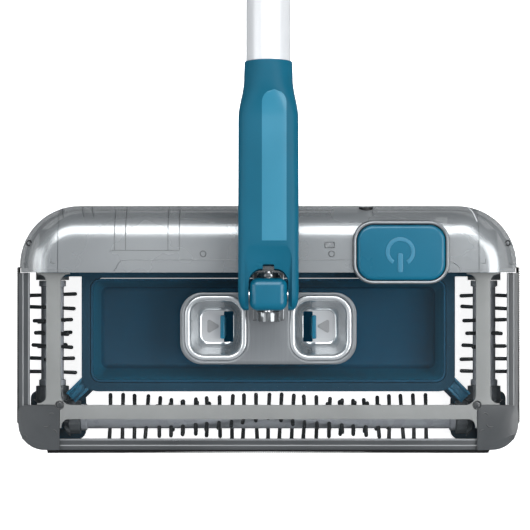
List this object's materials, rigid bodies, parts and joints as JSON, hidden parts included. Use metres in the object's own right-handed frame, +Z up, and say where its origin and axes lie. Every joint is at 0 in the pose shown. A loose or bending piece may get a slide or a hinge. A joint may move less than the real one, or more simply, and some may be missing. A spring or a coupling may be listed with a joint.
{
  "type": "carpet sweeper",
  "caption": "Cordless carpet sweeper with a wide low head, geared roller brushes round a dust tray under a clear cover, and a swivelling long handle.",
  "frame": {"origin": "on the floor, under the middle of the whole sweeper as it lies with its handle back", "axes": "+Z up, +Y from the head along the handle towards the grip, +X to the right seen from the front of the head with the handle behind it"},
  "size_m": [0.3334, 1.115, 0.0955],
  "materials": {
    "smoke_plastic": "smoke-tinted translucent, glossy",
    "grey_plastic": "satin",
    "dark_grey_plastic": "dark translucent grey, semi-gloss",
    "clear_plastic": "clear, glossy",
    "silver_plastic": "silver paint, satin with glossy cups",
    "teal_plastic": "glossy teal",
    "dark_teal_plastic": "satin dark teal",
    "black_nylon": "nylon bristle tufts",
    "black_rubber": "matt",
    "roller_tube": "satin grey tube",
    "gear_nylon": "moulded nylon",
    "handle_tube": "white gloss paint",
    "steel": "plated",
    "circuit_board": "solder mask",
    "battery_wrap": "shrink wrap",
    "indicator_lens": "frosted lens"
  },
  "bodies": {
    "head": {"rear_housing": "smoke_plastic", "rear_corner_left": "smoke_plastic", "rear_corner_right": "smoke_plastic", "swivel_bracket": "smoke_plastic", "top_frame": "grey_plastic", "outer_frame": "dark_grey_plastic", "front_corner_left": "dark_grey_plastic", "front_corner_right": "dark_grey_plastic", "frame_screw_left": "dark_grey_plastic", "frame_screw_right": "dark_grey_plastic", "clear_cover": "clear_plastic", "grip_plate": "silver_plastic", "button_bezel": "silver_plastic", "chassis": "dark_teal_plastic", "switch": "black_nylon", "charge_jack": "black_nylon", "bumper_left": "black_rubber", "bumper_right": "black_rubber", "bumper_front": "black_rubber", "motor": "steel", "swivel_pin": "steel", "circuit_board": "circuit_board", "battery_pack": "battery_wrap", "indicator_lens": "indicator_lens"},
    "front_brush": {"front_roller": "roller_tube", "front_bristles": "black_nylon", "front_gear_left": "gear_nylon", "front_gear_right": "gear_nylon"},
    "rear_brush": {"rear_roller": "roller_tube", "rear_bristles": "black_nylon", "rear_gear_left": "gear_nylon", "rear_gear_right": "gear_nylon", "drive_gear": "gear_nylon"},
    "left_brush": {"left_roller": "roller_tube", "left_bristles": "black_nylon", "left_gear_front": "gear_nylon", "left_gear_rear": "gear_nylon"},
    "right_brush": {"right_roller": "roller_tube", "right_bristles": "black_nylon", "right_gear_front": "gear_nylon", "right_gear_rear": "gear_nylon"},
    "idler": {"idler_gear": "gear_nylon"},
    "motor_shaft": {"motor_pinion": "gear_nylon"},
    "button": {"power_button": "teal_plastic"},
    "tray": {"dust_tray": "dark_teal_plastic"},
    "tab_left": {"release_tab_left": "teal_plastic"},
    "tab_right": {"release_tab_right": "teal_plastic"},
    "knuckle": {"knuckle": "teal_plastic"},
    "handle": {"yoke": "teal_plastic", "pitch_pin": "steel", "lower_tube": "handle_tube", "upper_tube": "handle_tube", "tube_sleeve": "teal_plastic", "grip": "black_rubber", "hang_loop": "teal_plastic"},
    "wheel_fl": {"wheel_front_left": "black_rubber"},
    "wheel_fr": {"wheel_front_right": "black_rubber"},
    "wheel_rl": {"wheel_rear_left": "black_rubber"},
    "wheel_rr": {"wheel_rear_right": "black_rubber"}
  },
  "joints": [
    {"name": "rear_brush_spin", "type": "hinge", "parent": "head", "child": "rear_brush", "pos_m": [0, -0.41607, 0.017], "axis": [1, 0, 0], "continuous": true},
    {"name": "front_brush_spin", "type": "hinge", "parent": "head", "child": "front_brush", "pos_m": [0, -0.53487, 0.017], "axis": [1, 0, 0], "continuous": true},
    {"name": "left_brush_spin", "type": "hinge", "parent": "head", "child": "left_brush", "pos_m": [-0.145, -0.47547, 0.017], "axis": [0, 1, 0], "continuous": true},
    {"name": "right_brush_spin", "type": "hinge", "parent": "head", "child": "right_brush", "pos_m": [0.145, -0.47547, 0.017], "axis": [0, 1, 0], "continuous": true},
    {"name": "idler_spin", "type": "hinge", "parent": "head", "child": "idler", "pos_m": [0.115, -0.41817, 0.03603], "axis": [1, 0, 0], "continuous": true},
    {"name": "motor_spin", "type": "hinge", "parent": "head", "child": "motor_shaft", "pos_m": [0.115, -0.41407, 0.048], "axis": [1, 0, 0], "continuous": true},
    {"name": "wheel_fl_spin", "type": "hinge", "parent": "head", "child": "wheel_fl", "pos_m": [-0.1216, -0.50507, 0.0065], "axis": [1, 0, 0], "continuous": true},
    {"name": "wheel_fr_spin", "type": "hinge", "parent": "head", "child": "wheel_fr", "pos_m": [0.1216, -0.50507, 0.0065], "axis": [1, 0, 0], "continuous": true},
    {"name": "wheel_rl_spin", "type": "hinge", "parent": "head", "child": "wheel_rl", "pos_m": [-0.1216, -0.44707, 0.0065], "axis": [1, 0, 0], "continuous": true},
    {"name": "wheel_rr_spin", "type": "hinge", "parent": "head", "child": "wheel_rr", "pos_m": [0.1216, -0.44707, 0.0065], "axis": [1, 0, 0], "continuous": true},
    {"name": "power_button_press", "type": "slide", "parent": "head", "child": "button", "axis": [0, 0, -1], "range_m": [0, 0.002], "stiffness_N_per_m": 900, "springref_m": -0.001},
    {"name": "tab_left_pinch", "type": "slide", "parent": "head", "child": "tab_left", "axis": [1, 0, 0], "range_m": [0, 0.003], "stiffness_N_per_m": 500, "springref_m": -0.001},
    {"name": "tab_right_pinch", "type": "slide", "parent": "head", "child": "tab_right", "axis": [-1, 0, 0], "range_m": [0, 0.003], "stiffness_N_per_m": 500, "springref_m": -0.001},
    {"name": "tray_drop", "type": "slide", "parent": "head", "child": "tray", "axis": [0, 0, -1], "range_m": [0, 0.06]},
    {"name": "handle_swivel", "type": "hinge", "parent": "head", "child": "knuckle", "pos_m": [0, -0.45207, 0.073], "axis": [0, 1, 0], "range_deg": [-30, 30]},
    {"name": "handle_pitch", "type": "hinge", "parent": "knuckle", "child": "handle", "pos_m": [0, -0.45207, 0.086], "axis": [1, 0, 0], "range_deg": [0, 95]}
  ],
  "couplings": [
    {"joint": "front_brush_spin", "follows": "rear_brush_spin", "ratio": -1},
    {"joint": "left_brush_spin", "follows": "rear_brush_spin", "ratio": 1},
    {"joint": "right_brush_spin", "follows": "rear_brush_spin", "ratio": -1},
    {"joint": "idler_spin", "follows": "rear_brush_spin", "ratio": -1.5333},
    {"joint": "motor_spin", "follows": "rear_brush_spin", "ratio": 2.3}
  ]
}
